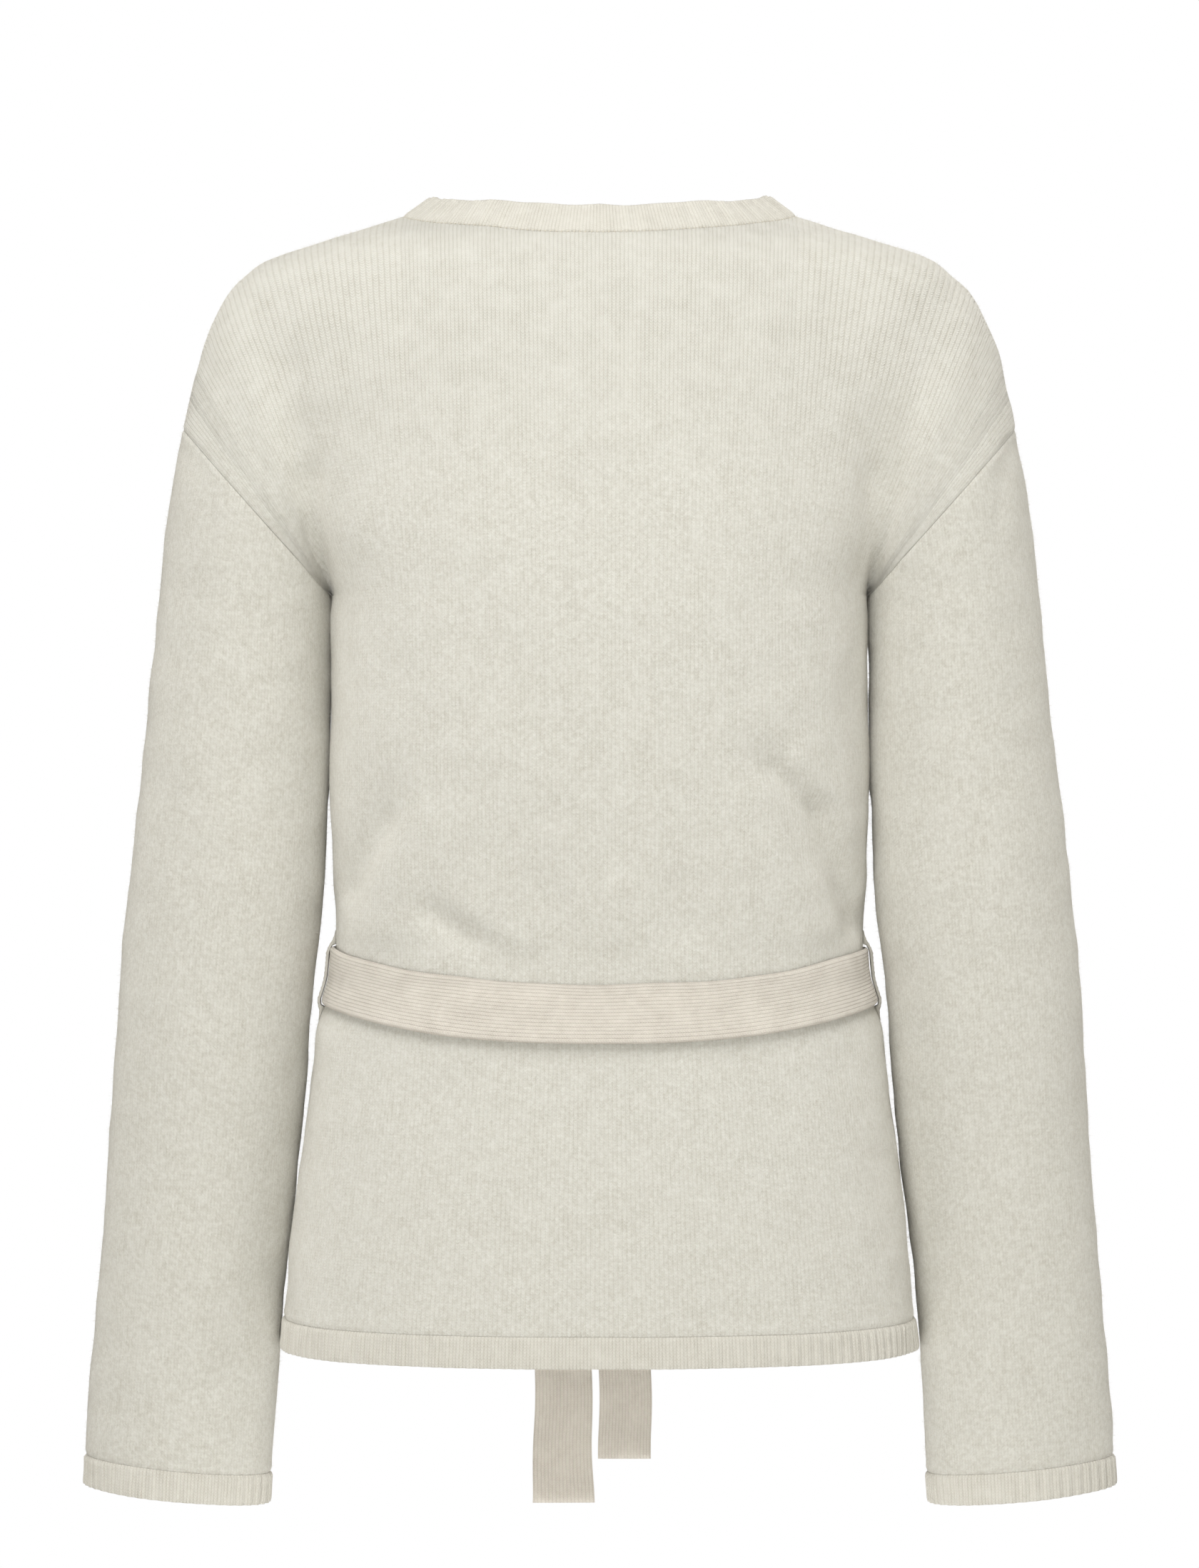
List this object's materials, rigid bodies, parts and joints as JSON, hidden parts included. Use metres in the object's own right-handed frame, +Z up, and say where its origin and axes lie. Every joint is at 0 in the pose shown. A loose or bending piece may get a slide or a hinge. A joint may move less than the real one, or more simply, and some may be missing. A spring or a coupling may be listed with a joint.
{
  "type": "wrap cardigan",
  "caption": "Ivory brushed-knit wrap cardigan with dropped shoulders, ribbed edges and a tied knit belt, filled out as worn.",
  "frame": {"origin": "between the shoulders, level with the neck ends of the shoulder seams, in the plane of the side seams", "axes": "+Z up, the front of the cardigan faces -Y, +X is the wearer's left"},
  "size_m": [0.5456, 0.2363, 0.7038],
  "materials": {
    "knit": "brushed, lightly felted stockinette knit",
    "rib": "brushed rib knit",
    "belt_knit": "flat double knit"
  },
  "bodies": {
    "root": {"back_panel": "knit", "front_left_panel": "knit", "front_right_panel": "knit", "sleeve_left": "knit", "sleeve_right": "knit", "cuff_left": "rib", "cuff_right": "rib", "hem_rib_back": "rib", "hem_rib_left": "rib", "hem_rib_right": "rib", "front_band": "rib", "belt_waist": "belt_knit", "belt_knot": "belt_knit", "belt_tail_long": "belt_knit", "belt_tail_short": "belt_knit", "belt_loop_left": "rib", "belt_loop_right": "rib"}
  },
  "joints": []
}
